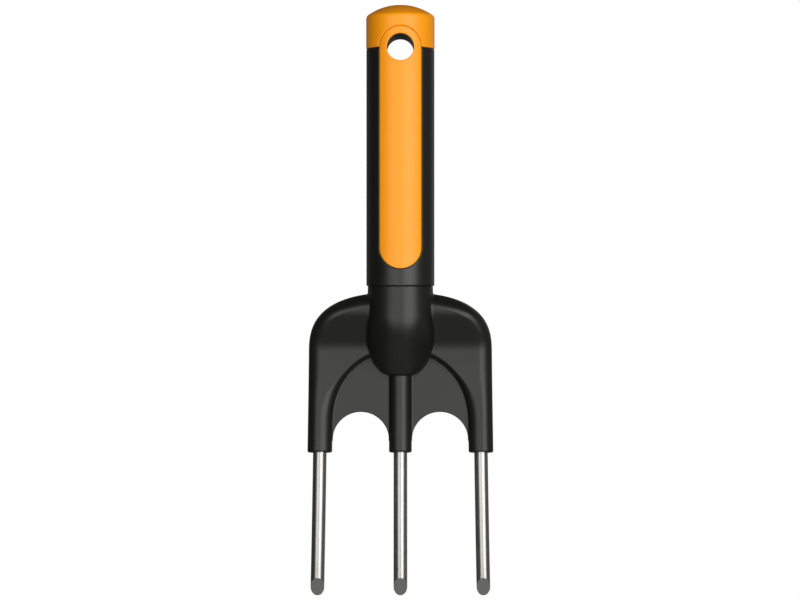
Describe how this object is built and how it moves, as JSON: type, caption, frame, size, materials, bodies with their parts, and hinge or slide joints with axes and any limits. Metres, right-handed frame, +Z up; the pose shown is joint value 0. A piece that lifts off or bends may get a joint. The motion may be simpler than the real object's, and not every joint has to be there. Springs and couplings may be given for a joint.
{
  "type": "hand cultivator",
  "caption": "Garden hand fork: round handle with soft sleeve, domed end and hang hole, moulded arched head, bevel-cut steel tines curving forward.",
  "frame": {"origin": "centre of the hang hole, on the handle's axis", "axes": "+Z up along the handle from the tines to the domed end, front face with the inlay faces -Y, +X to the right seen from the front"},
  "size_m": [0.0932, 0.0342, 0.2941],
  "materials": {
    "orange_plastic": "satin moulded",
    "soft_black_grip": "soft matte",
    "black_nylon": "fine satin, glass filled",
    "stainless_steel": "drawn and lightly polished"
  },
  "bodies": {
    "root": {"end_cap": "orange_plastic", "front_inlay": "orange_plastic", "grip_sleeve": "soft_black_grip", "handle_core": "black_nylon", "head_moulding": "black_nylon", "tine_left": "stainless_steel", "tine_centre": "stainless_steel", "tine_right": "stainless_steel"}
  },
  "joints": []
}
